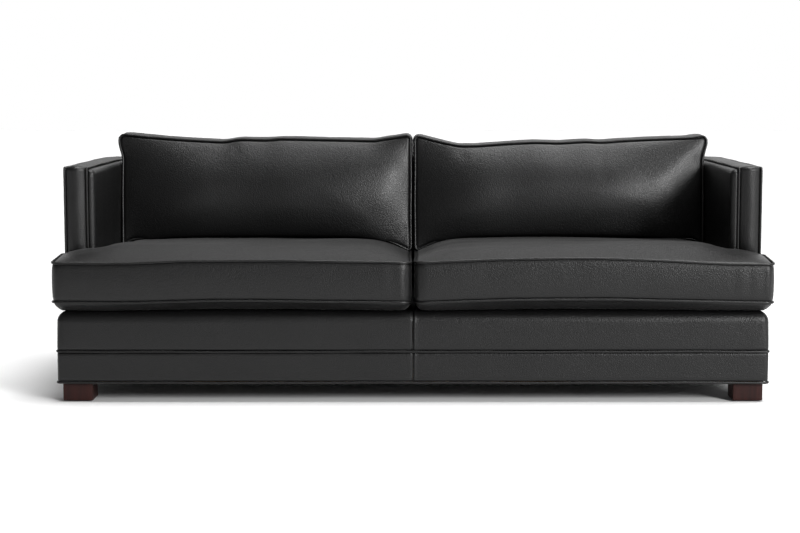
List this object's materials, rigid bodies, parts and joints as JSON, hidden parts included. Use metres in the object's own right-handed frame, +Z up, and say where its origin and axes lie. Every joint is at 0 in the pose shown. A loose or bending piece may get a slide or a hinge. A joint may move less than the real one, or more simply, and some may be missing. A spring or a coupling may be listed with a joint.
{
  "type": "leather sofa",
  "caption": "Leather sofa with loose T-shaped seat cushions, loose boxed back cushions, thin level arms that run round into the back, welted base and block feet.",
  "frame": {"origin": "centre of the sofa's footprint at the floor, below the glides", "axes": "+X to the right facing the sofa, -Y out of the front of the seat, +Z up"},
  "size_m": [2.229, 0.996, 0.817],
  "materials": {
    "black_leather": "semi-matte pebbled black leather",
    "welt_leather": "semi-matte black leather piping",
    "feet": "dark red-brown stained wood, satin",
    "timber": "plain kiln-dried hardwood",
    "steel": "plain steel",
    "glides": "hard nylon",
    "foam": "foam with a fibre wrap",
    "deck_cloth": "black woven deck cloth",
    "webbing": "woven webbing"
  },
  "bodies": {
    "frame": {"foot_front_left": "feet", "foot_front_right": "feet", "foot_rear_left": "feet", "foot_rear_right": "feet", "foot_glides": "glides", "foot_bolts": "steel", "front_rail": "timber", "back_rail": "timber", "side_rail_left": "timber", "side_rail_right": "timber", "cross_rails": "timber", "corner_blocks": "timber", "arm_posts": "timber", "arm_top_rails": "timber", "back_posts": "timber", "back_top_rail": "timber", "frame_screws": "steel", "seat_springs": "steel", "spring_clips": "steel", "back_webbing": "webbing", "deck_pad": "deck_cloth", "front_edge_roll": "foam", "dust_cover": "deck_cloth", "dust_cover_staples": "steel", "base_cover_front_left": "black_leather", "base_cover_front_right": "black_leather", "base_cover_side_left": "black_leather", "base_cover_side_right": "black_leather", "base_cover_back": "black_leather", "base_mid_welt": "welt_leather", "base_bottom_welt": "welt_leather", "arm_front_panel_left": "black_leather", "arm_front_panel_right": "black_leather", "outside_panel_left": "black_leather", "outside_panel_right": "black_leather", "outside_back_panel": "black_leather", "arm_top_band_left": "black_leather", "arm_top_band_right": "black_leather", "back_top_band": "black_leather", "arm_inner_cover_left": "black_leather", "arm_inner_cover_right": "black_leather", "arm_foam_left": "foam", "arm_foam_right": "foam", "inside_back_cover": "black_leather", "inside_back_foam": "foam", "frame_outer_welt": "welt_leather", "frame_inner_welt": "welt_leather"},
    "seat_cushion_left": {"seat_cover_left": "black_leather", "seat_core_left": "foam", "seat_welts_left": "welt_leather"},
    "back_cushion_left": {"back_cover_left": "black_leather", "back_core_left": "foam", "back_welts_left": "welt_leather"},
    "seat_cushion_right": {"seat_cover_right": "black_leather", "seat_core_right": "foam", "seat_welts_right": "welt_leather"},
    "back_cushion_right": {"back_cover_right": "black_leather", "back_core_right": "foam", "back_welts_right": "welt_leather"}
  },
  "joints": [
    {"name": "seat_cushion_left_slide", "type": "slide", "parent": "frame", "child": "seat_cushion_left", "axis": [0, -1, 0], "range_m": [0, 0.88]},
    {"name": "back_cushion_left_lift", "type": "slide", "parent": "frame", "child": "back_cushion_left", "axis": [0, 0, 1], "range_m": [0, 0.4]},
    {"name": "seat_cushion_right_slide", "type": "slide", "parent": "frame", "child": "seat_cushion_right", "axis": [0, -1, 0], "range_m": [0, 0.88]},
    {"name": "back_cushion_right_lift", "type": "slide", "parent": "frame", "child": "back_cushion_right", "axis": [0, 0, 1], "range_m": [0, 0.4]}
  ]
}
